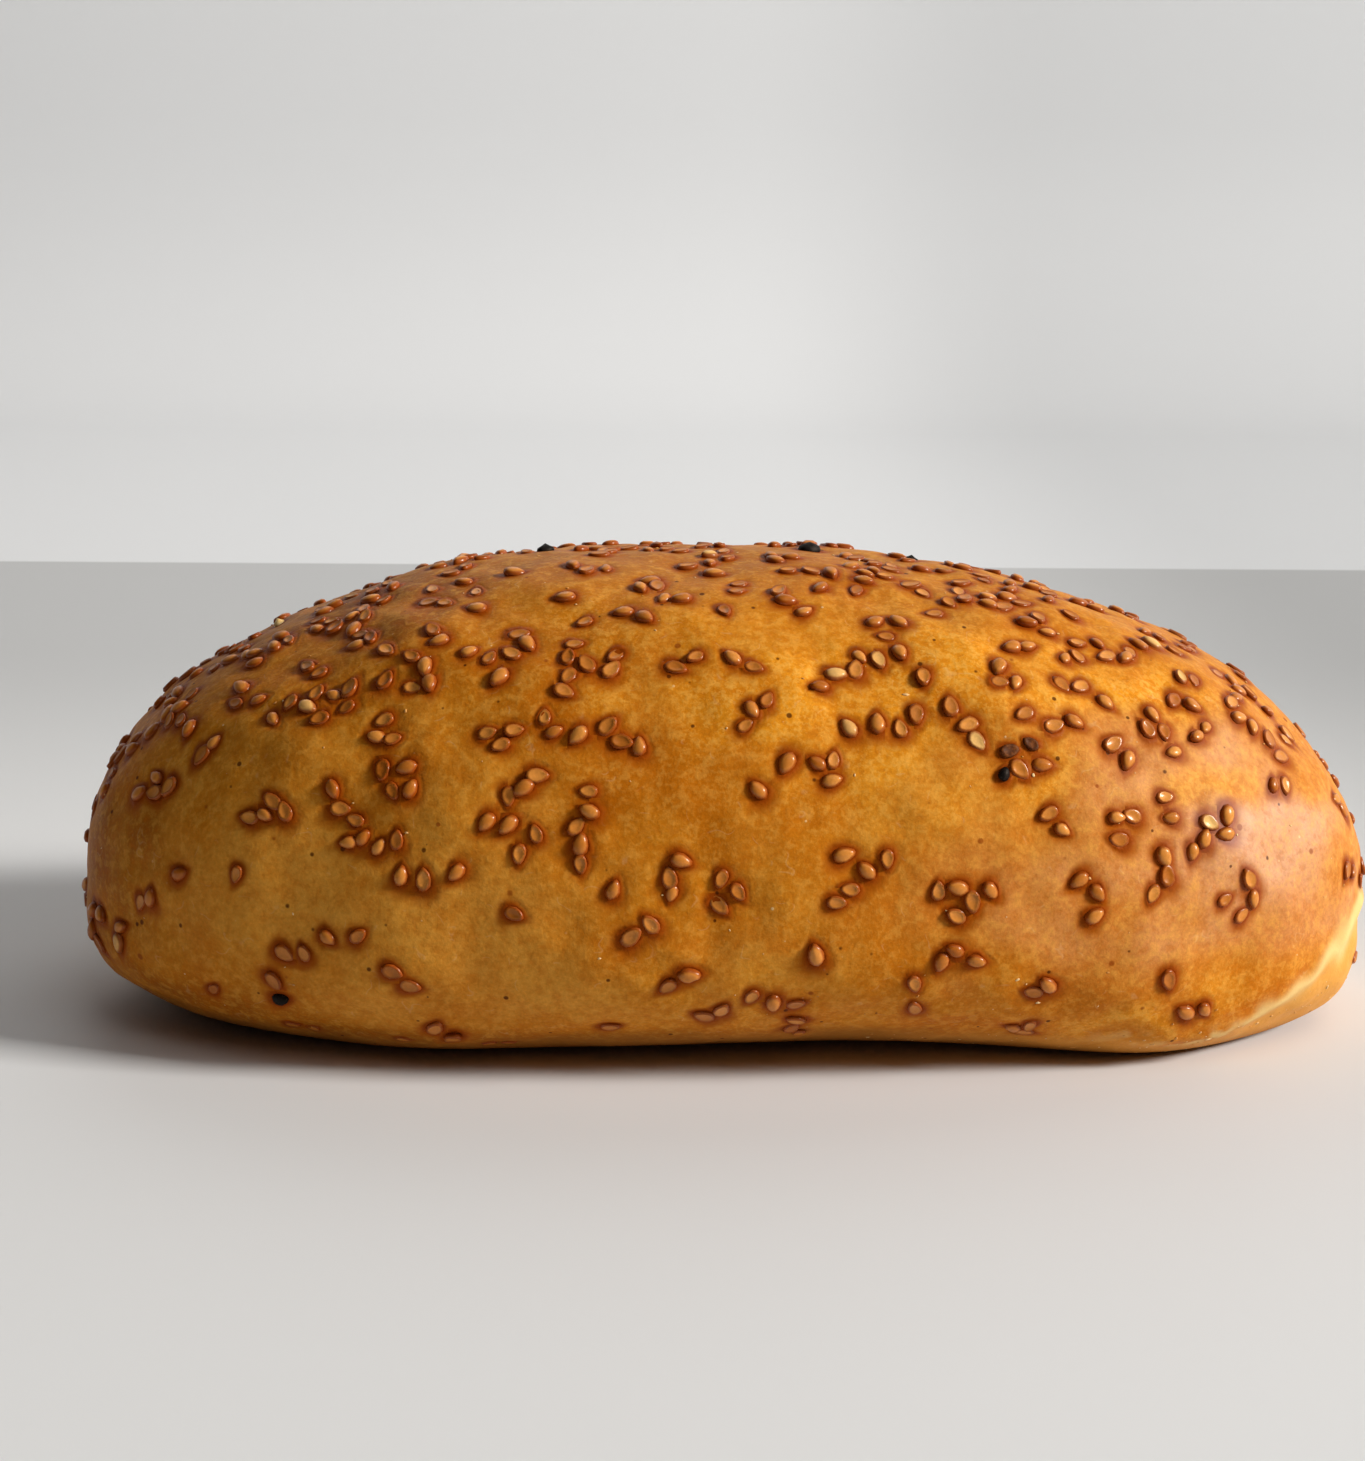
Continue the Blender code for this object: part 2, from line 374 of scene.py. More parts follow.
# One socket of a node, with Python's operators for the Math nodes
class Wire:
    def __init__(self, tree, socket):
        self.tree = tree
        self.socket = socket

    def node(self, kind, settings, values, out=0):
        made = self.tree.nodes.new(kind)
        for name, value in settings.items():
            setattr(made, name, value)
        for name, value in values.items():
            if isinstance(value, Wire):
                self.tree.links.new(value.socket, made.inputs[name])
            elif isinstance(value, tuple) and len(value) == 3 and made.inputs[name].type == "RGBA":
                made.inputs[name].default_value = (*value, 1)
            else:
                made.inputs[name].default_value = value
        return Wire(self.tree, made.outputs[out])

    def maths(self, operation, *others):
        return self.node("ShaderNodeMath", {"operation": operation}, dict(enumerate((self, *others))))

    def __add__(self, other):
        return self.maths("ADD", other)

    __radd__ = __add__

    def __mul__(self, other):
        return self.maths("MULTIPLY", other)

    __rmul__ = __mul__

    def __sub__(self, other):
        return self.maths("SUBTRACT", other)

    def __rsub__(self, other):
        return self.node("ShaderNodeMath", {"operation": "SUBTRACT"}, {0: other, 1: self})

    def __truediv__(self, other):
        return self.maths("DIVIDE", other)

    def atLeast(self, other):
        return self.maths("MAXIMUM", other)

    def bell(self, width):
        # 1 at zero, falling off as a bell curve
        share = self / width
        return (share * share * -1).maths("EXPONENT")

    def rise(self, low, high):
        # 0 up to low, 1 from high on, smooth between; low above high turns it round
        settings = {"interpolation_type": "SMOOTHSTEP"}
        return self.node("ShaderNodeMapRange", settings, {0: self, 1: low, 2: high, 3: 0.0, 4: 1.0})

    def part(self, number):
        return self.node("ShaderNodeSeparateXYZ", {}, {0: self}, number)

    def stretched(self, x, y, z):
        return self.node("ShaderNodeVectorMath", {"operation": "MULTIPLY"}, {0: self, 1: (x, y, z)})

    def noise(self, scale, detail, roughness=0.5):
        values = {"Vector": self, "Scale": scale, "Detail": detail, "Roughness": roughness}
        return self.node("ShaderNodeTexNoise", {}, values)

    def dots(self, scale, smallest, largest, share, core=0.55):
        # Round dots in a share of a cell pattern's cells, of radii between the two in metres. Each is
        # full out to the core's share of its radius and fades from there.
        values = {"Vector": self, "Scale": scale}
        apart = self.node("ShaderNodeTexVoronoi", {}, values, 0)
        luck = self.node("ShaderNodeTexVoronoi", {}, values, 1)
        size = (smallest + (largest - smallest) * luck.part(0)) * scale
        return (apart / size).rise(1.0, core) * luck.part(1).rise(1 - share, 1.001 - share)


def mix(share, first, second):
    tree = next(value for value in (share, first, second) if isinstance(value, Wire))
    values = {0: share, 6: first, 7: second}
    return tree.node("ShaderNodeMix", {"data_type": "RGBA"}, values, 2)


def darken(colour, share):
    # the colour times a number that changes over the surface
    tint = share.node("ShaderNodeCombineColor", {}, {0: share, 1: share, 2: share})
    settings = {"data_type": "RGBA", "blend_type": "MULTIPLY"}
    return share.node("ShaderNodeMix", settings, {0: 1.0, 6: colour, 7: tint}, 2)


class Finish:
    # a new material with its shader, its coordinates and its attributes
    def __init__(self, name, **constants):
        self.material = bpy.data.materials.new(name)
        self.material.use_nodes = True
        self.tree = self.material.node_tree
        self.shader = self.tree.nodes["Principled BSDF"]
        for socket, value in constants.items():
            self.shader.inputs[socket.replace("_", " ")].default_value = value
        coordinates = self.tree.nodes.new("ShaderNodeTexCoord")
        self.place = Wire(self.tree, coordinates.outputs["Object"])

    def attribute(self, name):
        made = self.tree.nodes.new("ShaderNodeAttribute")
        made.attribute_name = name
        return Wire(self.tree, made.outputs["Vector"])

    def feed(self, **wires):
        for name, wire in wires.items():
            self.tree.links.new(wire.socket, self.shader.inputs[name.replace("_", " ")])

    def bump(self, heightInMm, strength=1.0):
        values = {"Height": heightInMm, "Distance": 0.001, "Strength": strength}
        self.feed(Normal=self.place.node("ShaderNodeBump", {}, values))


crustColours = {
    "golden": (0.600, 0.200, 0.009),
    "amber": (0.500, 0.122, 0.002),
    "khaki": (0.720, 0.295, 0.034),
    # a pinkish tone, partly the crust's own and partly painted sheen
    "rosyAndSheen": (0.650, 0.260, 0.085),
    # painted sheen: a pale pink veil that stands in for the glaze's broad shine
    "paintedSheen": (0.900, 0.640, 0.500),
    "sunlit": (0.850, 0.315, 0.014),
    # darker brown crust, partly the crust's own bake and partly painted shade
    "brownAndShade": (0.330, 0.095, 0.005),
    "straw": (0.880, 0.430, 0.070),  # the paler grain between
    "halo": (0.400, 0.092, 0.003),  # glaze that caramelised round a seed
    "rim": (0.270, 0.041, 0.001),
    "fleck": (0.860, 0.620, 0.300),
    "speck": (0.070, 0.012, 0.001),
    "foot": (0.800, 0.540, 0.210),  # the pale band that the glaze did not reach
    "tan": (0.800, 0.390, 0.085),  # the thinly glazed crust below the band
    "underside": (0.420, 0.165, 0.030),
}


crustPatterns = {
    # scale, detail and roughness
    "noises": {
        "grain": (2400, 2.0, 0.60),
        "crumb": (1500, 2.0, 0.65),
        "blotch": (760, 3.0, 0.60),
        "cloud": (95, 3.0, 0.55),
        "fibre": (300, 1.0),
        "fibreAreas": (430, 1.0),
        "fleckAreas": (70, 1.0),
        "wobble": (900, 2.0),
    },
    "streakStretch": (1.0, 0.35, 0.16),
    "streak": (170, 2.0),
    # scale, smallest and largest radius, and the share of cells that have a dot
    "dots": {
        "fleck": (420, 0.00008, 0.00026, 0.50),
        "blot": (190, 0.00025, 0.00060, 0.65),
        "speck": (300, 0.00018, 0.00044, 0.55),
    },
    # how far each goes towards its colour: a share, or two where the sunlit patches get more
    "shares": {
        "paintedSheen": 0.20,
        "cloud": 0.38,
        "streak": 0.25,
        "blotch": (0.28, 0.32),
        "blotchDark": 0.36,
        "crumb": (0.10, 0.42),
        "fleck": 0.70,
        "fibre": 0.16,
        "rim": 0.88,
        "blot": 0.75,
        "speck": 0.85,
    },
    # millimetres of bump
    "bumps": {"blotch": 0.10, "crumb": 0.04, "grain": 0.03, "fleck": 0.03, "rim": 0.08, "pool": 0.05},
}


def crustFinish():
    finish = Finish("goldenCrust", Specular_IOR_Level=0.08, Coat_Roughness=0.45)
    finish.shader.inputs["Specular Tint"].default_value = (1.0, 0.68, 0.28, 1)
    place = finish.place
    amber, khaki, rosyAndSheen = (finish.attribute("bakeToneAndSheen").part(number) for number in range(3))
    sunlit, brownAndShade, sheen = (finish.attribute("bakeLight").part(number) for number in range(3))
    foot, under, thin = (finish.attribute("footTone").part(number) for number in range(3))
    spot = finish.attribute("seedSpot")
    halo = finish.attribute("seedHalo").part(0)
    colours, share, bumps = crustColours, crustPatterns["shares"], crustPatterns["bumps"]
    noise = {name: place.noise(*form) for name, form in crustPatterns["noises"].items()}
    dots = {name: place.dots(*form) for name, form in crustPatterns["dots"].items()}
    grain, crumb, blotch, cloud = (noise[name] for name in ("grain", "crumb", "blotch", "cloud"))
    streak = place.stretched(*crustPatterns["streakStretch"]).noise(*crustPatterns["streak"])

    # the baking colours, with painted light in the sunlit patches, painted sheen in the pink tone and the
    # veil and painted shade in the brown; then clouds, streaks and grain
    base = mix(khaki, colours["golden"], colours["khaki"])
    base = mix(amber, base, colours["amber"])
    # pinkish tone, partly painted sheen
    base = mix(rosyAndSheen, base, colours["rosyAndSheen"])
    base = mix(sunlit, base, colours["sunlit"])
    base = mix(brownAndShade, base, colours["brownAndShade"])
    # painted sheen: the pale veil laid into the colour where the glaze is glossy
    base = mix(sheen * share["paintedSheen"], base, colours["paintedSheen"])
    base = mix(cloud.rise(0.44, 0.70) * share["cloud"], base, colours["amber"])
    base = mix(streak.rise(0.52, 0.72) * share["streak"], base, colours["khaki"])
    pale = blotch.rise(0.48, 0.64) * (share["blotch"][0] + share["blotch"][1] * sunlit)
    base = mix(pale, base, colours["straw"])
    base = mix(blotch.rise(0.50, 0.34) * share["blotchDark"], base, colours["amber"])
    pale = crumb.rise(0.50, 0.60) * (share["crumb"][0] + share["crumb"][1] * sunlit)
    base = mix(pale, base, colours["straw"])
    base = darken(base, 0.77 + 0.44 * grain)
    fibre = (noise["fibre"] - 0.5).bell(0.012) * noise["fibreAreas"].rise(0.58, 0.68)
    fleck = dots["fleck"] * noise["fleckAreas"].rise(0.48, 0.60)
    base = mix((fleck * share["fleck"]).atLeast(fibre * share["fibre"]), base, colours["fleck"])

    # halo and rim round each seed; the rim is measured from its outline in half lengths and widths
    wobble = noise["wobble"] - 0.5
    base = mix(halo * (0.95 + 0.9 * wobble), base, colours["halo"])
    a = spot.part(0)
    b = spot.part(1) / (1 - pooling["taper"] * a)
    gap = ((a * a + b * b).maths("SQRT") - 1) * 1.25 + wobble * 0.75
    base = mix(gap.atLeast(0).bell(0.60) * share["rim"], base, colours["rim"])
    base = mix(dots["blot"] * share["blot"], base, colours["rim"])

    # the foot, the underside and the burnt specks
    base = mix(thin, base, colours["tan"])
    base = mix(foot, base, colours["foot"])
    base = mix(under, base, darken(colours["underside"], 0.70 + 0.6 * cloud))
    base = mix(dots["speck"] * share["speck"], base, colours["speck"])

    height = bumps["blotch"] * blotch + bumps["crumb"] * crumb + bumps["grain"] * grain
    height = height + bumps["fleck"] * fleck
    height = height - bumps["rim"] * (gap - 0.05).bell(0.30) + bumps["pool"] * (gap - 0.7).bell(0.45)
    roughness = 0.42 + 0.14 * grain + 0.22 * foot.atLeast(under)
    finish.feed(Base_Color=base, Roughness=roughness, Coat_Weight=0.50 * sheen)
    finish.bump(height, 0.8)
    return finish.material


# Soft patches by kind, of baking colours and of painted light, sheen and shade: x, angle round the roll,
# reach in x and in angle, amount
tonePatches = {
    "amber": (
        (-0.0145, 40, 0.009, 13, 0.75),
        (-0.0100, 28, 0.012, 9, 0.45),
        (0.0010, 27, 0.004, 13, 0.45),
        (0.0130, 2, 0.012, 9, 0.55),
        (-0.0080, -3, 0.010, 8, 0.45),
        (0.0300, -34, 0.022, 6, 0.60),
        (0.0400, -8, 0.014, 11, 0.50),
        (0.0560, -20, 0.014, 12, 0.30),
        (-0.0660, -40, 0.012, 10, 0.70),
        (-0.0230, 48, 0.005, 8, 0.40),
        (0.0130, 36, 0.009, 7, 0.50),
        (-0.0100, 150, 0.030, 24, 0.35),
        (0.0620, -25, 0.008, 5, 0.55),
        (-0.0550, 165, 0.018, 26, 0.20),
    ),
    "khaki": (
        (-0.0450, 1, 0.022, 24, 0.95),
        (-0.0610, 18, 0.008, 20, 0.55),
        (-0.0225, -17, 0.010, 13, 0.80),
        (-0.0270, 6, 0.008, 14, 0.60),
        (-0.0420, -25, 0.010, 10, 0.60),
        (0.0040, -11, 0.009, 13, 0.75),
        (0.0180, 22, 0.008, 8, 0.60),
        (0.0500, -30, 0.010, 6, 0.90),
        (-0.0050, 88, 0.060, 16, 0.70),
        (0.0450, 160, 0.020, 26, 0.50),
        (-0.0550, 165, 0.018, 26, 0.40),
    ),
    # pinkish patches at the right end: partly the crust's own tone, partly painted sheen
    "rosyAndSheen": (
        (0.0550, 20, 0.018, 24, 0.75),
        (0.0740, 30, 0.010, 30, 0.75),
        (0.0360, 8, 0.012, 12, 0.45),
    ),
    "sunlit": (
        (0.0060, 44, 0.012, 10, 0.85),
        (0.0225, 47, 0.006, 12, 0.75),
        (0.0530, 51, 0.010, 9, 0.85),
        (-0.0145, 55, 0.008, 8, 0.45),
        (-0.0640, 42, 0.006, 10, 0.30),
        (0.0190, 27, 0.007, 8, 0.75),
        (0.0230, 60, 0.006, 8, 0.50),
        (0.0340, 40, 0.009, 9, 0.55),
        (0.0420, 49, 0.010, 9, 0.50),
        (0.0490, -27, 0.010, 6, 0.80),
        (0.0020, -20, 0.010, 8, 0.50),
    ),
    # darker brown: partly the crust's own bake, partly painted shade at the left end and low on its side
    "brownAndShade": (
        (-0.0100, 86, 0.055, 15, 0.75),
        (-0.0440, 76, 0.014, 13, 0.65),
        (-0.0400, 48, 0.022, 16, 0.30),
        (-0.0790, 16, 0.009, 24, 0.90),
        (-0.0620, -39, 0.022, 14, 0.80),
    ),
    "sheen": ((0.0650, 30, 0.009, 13, 1.0), (0.0640, 12, 0.010, 12, 0.8)),
}


bakeEdges = {
    "draw": 9,
    "waver": (0.0022, 5),  # how far a patch's edge strays along the roll and, in degrees, round it
    "waverLength": 0.012,
    "lineAbove": 0.0021,  # the dark line over the foot
    "lineWidth": 0.0010,
    "lineFadeOut": (0.076, 0.070),
    # painted shade along the lower edge of the left part
    "shadeHeights": (0.0078, 0.0044),  # the dark lower edge of the left part
    "shadeFadeOut": (0.045, 0.012),
    "amount": 0.95,
}


def patchTones(points, around):
    # One number per kind: the sum of its patches' bell curves, with slow ripples for uneven edges
    draw = np.random.default_rng(bakeEdges["draw"])
    strayX, strayTurn = bakeEdges["waver"]
    x = points[..., 0] + strayX * ripple(points, bakeEdges["waverLength"], draw)
    angle = np.degrees(around) + strayTurn * ripple(points, bakeEdges["waverLength"], draw)
    tones = []
    for patches in tonePatches.values():
        tone = 0 * x
        for place, degrees, reach, spread, amount in patches:
            turn = (angle - degrees + 180) % 360 - 180
            tone += amount * np.exp(-(((x - place) / reach) ** 2) - (turn / spread) ** 2)
        tones.append(np.clip(tone, 0, 1))
    above, present = footLine(points)
    line = bell(above - bakeEdges["lineAbove"], bakeEdges["lineWidth"]) * present
    line = line * smoothStep(*bakeEdges["lineFadeOut"], points[..., 0])
    # painted shade: darker towards the bottom of the left part
    dark = smoothStep(*bakeEdges["shadeHeights"], points[..., 2])
    dark = dark * smoothStep(*bakeEdges["shadeFadeOut"], points[..., 0])
    kinds = list(tonePatches)
    for kind, edge in (("amber", line), ("brownAndShade", dark)):
        number = kinds.index(kind)
        tones[number] = np.maximum(tones[number], bakeEdges["amount"] * edge)
    return np.stack(tones, -1)


def footTone(points, normals):
    # how pale the foot is, how much of the surface faces the table, and how thin the glaze is
    draw = np.random.default_rng(footEdge["draw"])
    x, z = points[..., 0], points[..., 2]
    above, present = footLine(points)
    waver = footEdge["waver"] * ripple(points, 0.006, draw)
    width = footEdge["paleWidth"] + footEdge["paleGain"] * smoothStep(*footEdge["gainFrom"], x)
    broken = smoothStep(-0.3, 0.8, ripple(points, 0.0028, draw))
    lip = bell(above + waver, width) * present * np.maximum(broken, smoothStep(*footEdge["wholeFrom"], x))
    ragged = smoothStep(0.1, 1.0, ripple(points, 0.0045, draw)) * smoothStep(*footEdge["lowFadeIn"], x)
    low = footEdge["lowPale"] * smoothStep(*footEdge["lowHeights"], z + waver) * ragged
    strip = smoothStep(*footEdge["stripFadeIn"], x) * smoothStep(*footEdge["stripFadeOut"], x)
    strip = footEdge["strip"] * smoothStep(*footEdge["stripHeights"], z) * strip
    under = smoothStep(*footEdge["underside"], normals[..., 2])
    below = smoothStep(0.0, -footEdge["thinDepth"], above + waver) * present
    thin = np.maximum(footEdge["thin"] * below, strip)
    return np.stack([np.clip(lip + low * (1 - under), 0, 1), under, thin], -1)


def makeMesh(name, points, faces):
    # faces is a list of arrays, each holding faces with one number of corners
    mesh = bpy.data.meshes.new(name)
    corners = np.concatenate([part.reshape(-1) for part in faces])
    sizes = np.concatenate([np.full(len(part), part.shape[1]) for part in faces])
    mesh.vertices.add(len(points))
    mesh.loops.add(len(corners))
    mesh.polygons.add(len(sizes))
    mesh.vertices.foreach_set("co", points.astype(np.float32).reshape(-1))
    mesh.loops.foreach_set("vertex_index", corners.astype(np.int32))
    mesh.polygons.foreach_set("loop_start", (np.cumsum(sizes) - sizes).astype(np.int32))
    mesh.update(calc_edges=True)
    mesh.shade_smooth()
    return mesh


def setVectors(mesh, name, domain, values):
    made = mesh.attributes.new(name, "FLOAT_VECTOR", domain)
    made.data.foreach_set("vector", values.astype(np.float32).reshape(-1))


def makePiece(name, mesh, material):
    piece = bpy.data.objects.new(name, mesh)
    bpy.context.scene.collection.objects.link(piece)
    mesh.materials.append(material)
    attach(piece, "root")
    return piece


def wrapped(rows, columns):
    # quads of a grid whose columns close on themselves, with a corner at each end to fan from
    row, column = np.meshgrid(np.arange(rows - 1), np.arange(columns), indexing="ij")
    beside = (column + 1) % columns
    here, below = row * columns, (row + 1) * columns
    quads = np.stack([here + column, here + beside, below + beside, below + column], -1).reshape(-1, 4)
    ring = np.arange(columns)
    after = (ring + 1) % columns
    first, last = rows * columns, rows * columns + 1
    foot = (rows - 1) * columns
    start = np.stack([np.full(columns, first), after, ring], -1)
    end = np.stack([np.full(columns, last), foot + ring, foot + after], -1)
    return [quads, np.concatenate([start, end])]


def joinedMesh(name, points, rows, columns):
    # one mesh of many small grids, with a row of points for each
    count, each = points.shape[:2]
    faces = [(np.arange(count) * each)[:, None, None] + part for part in wrapped(rows, columns)]
    return makeMesh(name, points.reshape(-1, 3), [part.reshape(-1, part.shape[-1]) for part in faces])


crustGrid = {
    "rings": 300,
    "upperSteps": 274,  # round the glazed part
    "lowerSteps": 54,  # across the underside, where little shows
    "lowerFrom": -55,
}


def seedFrames(places):
    along, around = places[:, 0], places[:, 1]
    point, ahead, beside, normal = tangentFrame(along, around)
    turn = places[:, 2:3]
    tip = ahead * np.cos(turn) + beside * np.sin(turn)
    point = point + normal * broadRelief(point)[:, None]
    return point, tip, np.cross(normal, tip), normal


def buildCrust(places, oddPlaces):
    # the body's surface on a fine grid, moved out by the relief, with its attributes
    low = math.radians(crustGrid["lowerFrom"])
    high = math.pi - low
    upper = np.linspace(low, high, crustGrid["upperSteps"], endpoint=False)
    lower = np.linspace(high, low + 2 * math.pi, crustGrid["lowerSteps"], endpoint=False)
    around = np.concatenate([upper, lower])[None, :]
    along = ((np.arange(1, crustGrid["rings"] + 1) / (crustGrid["rings"] + 1)) - 0.5)[:, None] * math.pi
    points, _, _, normals = tangentFrame(along, around)
    height = broadRelief(points)

    flat = points.reshape(-1, 3)
    seeds = np.concatenate([places, oddPlaces])
    frames = seedFrames(seeds)
    centres, tips, besides, _ = frames
    _, gap = nearest(flat, centres)
    bed = -relief["seedBed"] * bell(gap, relief["seedBedReach"])
    height = height + bed.reshape(height.shape)

    draw = np.random.default_rng(relief["draw"] + 1)
    count = relief["blisters"]
    blisterAlong = np.arcsin(draw.uniform(-1, 1, count) * relief["blisterEnds"])
    spots = crustPoint(blisterAlong, np.radians(draw.uniform(*relief["blisterAngles"], count)))
    number, gap = nearest(flat, spots)
    size = draw.uniform(*relief["blisterSize"], count)[number]
    dome = relief["blisterRise"] * size * smoothStep(1.0, 0.0, gap / size)
    height = height + dome.reshape(height.shape) * smoothStep(*relief["blisterFade"], points[..., 2])
    points = points + normals * height[..., None]

    ends = crustPoint(np.array([-math.pi / 2, math.pi / 2]), np.zeros(2))
    allPoints = np.concatenate([points.reshape(-1, 3), ends])
    rows, columns = along.shape[0], around.shape[1]
    faces = wrapped(rows, columns)
    mesh = makeMesh("crust", allPoints, faces)

    tones = np.concatenate([patchTones(points, around + 0 * along), footTone(points, normals)], -1)
    tones = np.concatenate([tones.reshape(rows * columns, -1), tones[[0, -1], 0]])
    for number, name in enumerate(("bakeToneAndSheen", "bakeLight", "footTone")):
        setVectors(mesh, name, "POINT", tones[:, number * 3 : number * 3 + 3])
    pools = seedHalo(allPoints, seeds, frames)
    setVectors(mesh, "seedHalo", "POINT", np.repeat(pools, 3))

    # each face measures its corners from the seed that is nearest to it
    spot = []
    for part in faces:
        corners = allPoints[part]
        number, _ = nearest(corners.mean(1), centres)
        away = corners - centres[number][:, None, :]
        tip, beside = tips[number][:, None, :], besides[number][:, None, :]
        a, b = inHalves(away, tip, beside, seeds[number, 3][:, None])
        spot.append(np.stack([a, b, 0 * a], -1).reshape(-1, 3))
    setVectors(mesh, "seedSpot", "CORNER", np.concatenate(spot))

    crust = makePiece("crust", mesh, crustFinish())
    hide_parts("bread_roll")
    return crust


seedForm = {
    "draw": 31,
    "length": 0.0027,
    "width": 0.00195,
    "point": 0.34,  # how far the outline draws in towards the tip
    "sides": 12,
    "unevenness": 0.035,
    "sink": (-0.00003, 0.00018),  # how deep the single seeds lie
    "tilt": 7,
    # ring by ring from below to the middle of the face: size against the outline, and height in mm
    "plump": ((0.74, -0.45), (0.97, -0.14), (1.00, 0.10), (0.87, 0.40), (0.52, 0.60)),
    "rimmed": ((0.74, -0.45), (0.97, -0.14), (1.02, 0.12), (0.86, 0.42), (0.60, 0.26)),
    "sunken": ((0.74, -0.45), (1.02, -0.14), (1.02, 0.05), (0.84, 0.26), (0.54, 0.14)),
    "crowns": {"plump": 0.66, "rimmed": 0.34, "sunken": 0.12},  # height of the middle in mm
    "shares": {"plump": (0.0, 0.46), "rimmed": (0.46, 0.80), "sunken": (0.80, 1.0)},
    "paleShare": 0.025,
}
seedColours = {
    "dark": (0.430, 0.112, 0.008),
    "light": (0.740, 0.280, 0.048),
    "pale": (0.840, 0.500, 0.160),
    "edge": (0.280, 0.044, 0.001),  # caramel at the seed's foot
}


def seedFinish():
    # attribute seedSkin: size of the ring, tone of the seed, paleness of the seed
    finish = Finish("glazedSesame", Specular_IOR_Level=0.20, Coat_Roughness=0.18)
    finish.shader.inputs["Specular Tint"].default_value = (1.0, 0.72, 0.40, 1)
    skin = finish.attribute("seedSkin")
    ring, tone, pale = skin.part(0), skin.part(1), skin.part(2)
    grain = finish.place.noise(2300, 3.0, 0.6)
    base = mix(tone, seedColours["dark"], seedColours["light"])
    base = mix(pale, base, seedColours["pale"])
    base = darken(base, 0.78 + 0.44 * grain)
    base = mix(ring.rise(0.58, 0.94) * 0.88, base, seedColours["edge"])
    finish.feed(Base_Color=base, Roughness=0.30 + 0.2 * grain, Coat_Weight=0.28 * (1 - 0.5 * pale))
    finish.bump(0.03 * grain, 0.7)
    return finish.material


def buildSeeds(name, places, profile, crown, material, draw, stretch=(1.0, 1.0)):
    # Every seed at once: the turn round its outline by the ring of its profile. The outline is an
    # ellipse drawn in towards the tip, and a little noise makes each one uneven.
    count, sides = len(places), seedForm["sides"]
    point, tip, beside, normal = seedFrames(places)
    turn = np.arange(sides) / sides * 2 * math.pi
    x = seedForm["length"] / 2 * np.cos(turn) * stretch[0]
    y = seedForm["width"] / 2 * np.sin(turn) * stretch[1]
    y = y * (1 - seedForm["point"] * ((1 + np.cos(turn)) / 2) ** 2)
    rings = np.array(profile)
    share, rise = rings[:, 0], rings[:, 1] * 0.001
    size = places[:, 3][:, None, None]
    uneven = 1 + seedForm["unevenness"] * draw.normal(size=(count, len(rings), sides))
    localX = size * share[:, None] * x * uneven
    localY = size * share[:, None] * y * uneven
    tiltX, tiltY = np.radians(seedForm["tilt"]) * draw.normal(size=(2, count, 1, 1))
    sink = draw.uniform(*seedForm["sink"], (count, 1, 1))
    localZ = size * rise[:, None] * draw.uniform(0.85, 1.15, (count, 1, 1)) - sink
    localZ = localZ + localX * tiltX * 0.5 + localY * tiltY * 0.5
    middle = np.zeros((count, 2, 3))
    middle[:, 0, 2] = (size * (rise[0] - 0.0001) - sink)[:, 0, 0]
    middle[:, 1, 2] = (size * crown * 0.001 - sink)[:, 0, 0]
    local = np.stack([localX, localY, localZ], -1).reshape(count, -1, 3)
    local = np.concatenate([local, middle], 1)
    axes = np.stack([tip, beside, normal], 1)
    points = point[:, None, :] + local @ axes
    mesh = joinedMesh(name, points, len(rings), sides)
    ring = np.concatenate([np.repeat(share, sides), [1, 0]])
    tone = np.clip(draw.normal(0.55, 0.28, count), 0, 1)
    pale = np.where(draw.random(count) < seedForm["paleShare"], draw.uniform(0.5, 1.0, count), 0)
    skin = np.stack(np.broadcast_arrays(ring[None, :], tone[:, None], pale[:, None]), -1)
    setVectors(mesh, "seedSkin", "POINT", skin.reshape(-1, 3))
    return makePiece(name, mesh, material)


# Seeds that strayed in, burnt, stayed pale or stuck low on the roll, each with its angle along the
# roll, its angle round it, its turn and its size
oddSeeds = {
    "black": (
        (-37.7, -29.5, 0.3, 1.02),
        (21.9, 29.9, 1.3, 0.80),
        (7.5, 97.0, 0.1, 1.30),
        (-16.2, 96.0, 0.2, 1.05),
        (16.7, 97.0, 2.9, 0.85),
        (-29.0, 150.0, 1.0, 0.80),
        (34.5, 140.0, 2.2, 0.85),
    ),
    "burnt": (
        (22.4, 34.0, 0.4, 0.95),
        (24.2, 35.6, 2.6, 0.85),
        (-31.0, 170.0, 0.9, 0.90),
    ),
    "pale": (
        (-42.3, 97.0, 1.5, 0.95),
        (38.0, 150.0, 0.6, 0.90),
    ),
    "foot": (
        (-36.1, -43.2, 0.2, 0.80),
        (-34.3, -44.5, 2.8, 0.72),
        (-26.7, -42.6, 0.1, 0.75),
        (-19.7, -42.8, 3.0, 0.70),
        (-18.2, -43.6, 0.3, 0.78),
        (-9.9, -32.5, 0.4, 0.95),
        (-44.7, -31.5, 0.9, 0.80),
        (-20.0, 226.0, 0.2, 0.80),
        (12.0, 225.0, 1.0, 0.75),
        (30.0, 223.0, 0.4, 0.80),
    ),
}


# the form each kind takes, the height of its middle in mm, and its stretch along and across
oddForms = {
    "black": ("plump", 0.90, (0.86, 1.0)),
    "burnt": ("rimmed", 0.30, (1.0, 1.0)),
    "foot": ("sunken", 0.15, (1.0, 1.0)),
    "pale": ("plump", 1.00, (0.80, 0.9)),
}
# dark and light; the ones at the foot are plain sesame
oddColours = {
    "black": ((0.003, 0.002, 0.002), (0.014, 0.010, 0.010)),
    "burnt": ((0.080, 0.018, 0.003), (0.200, 0.055, 0.010)),
    "pale": ((0.780, 0.480, 0.160), (0.900, 0.680, 0.340)),
}


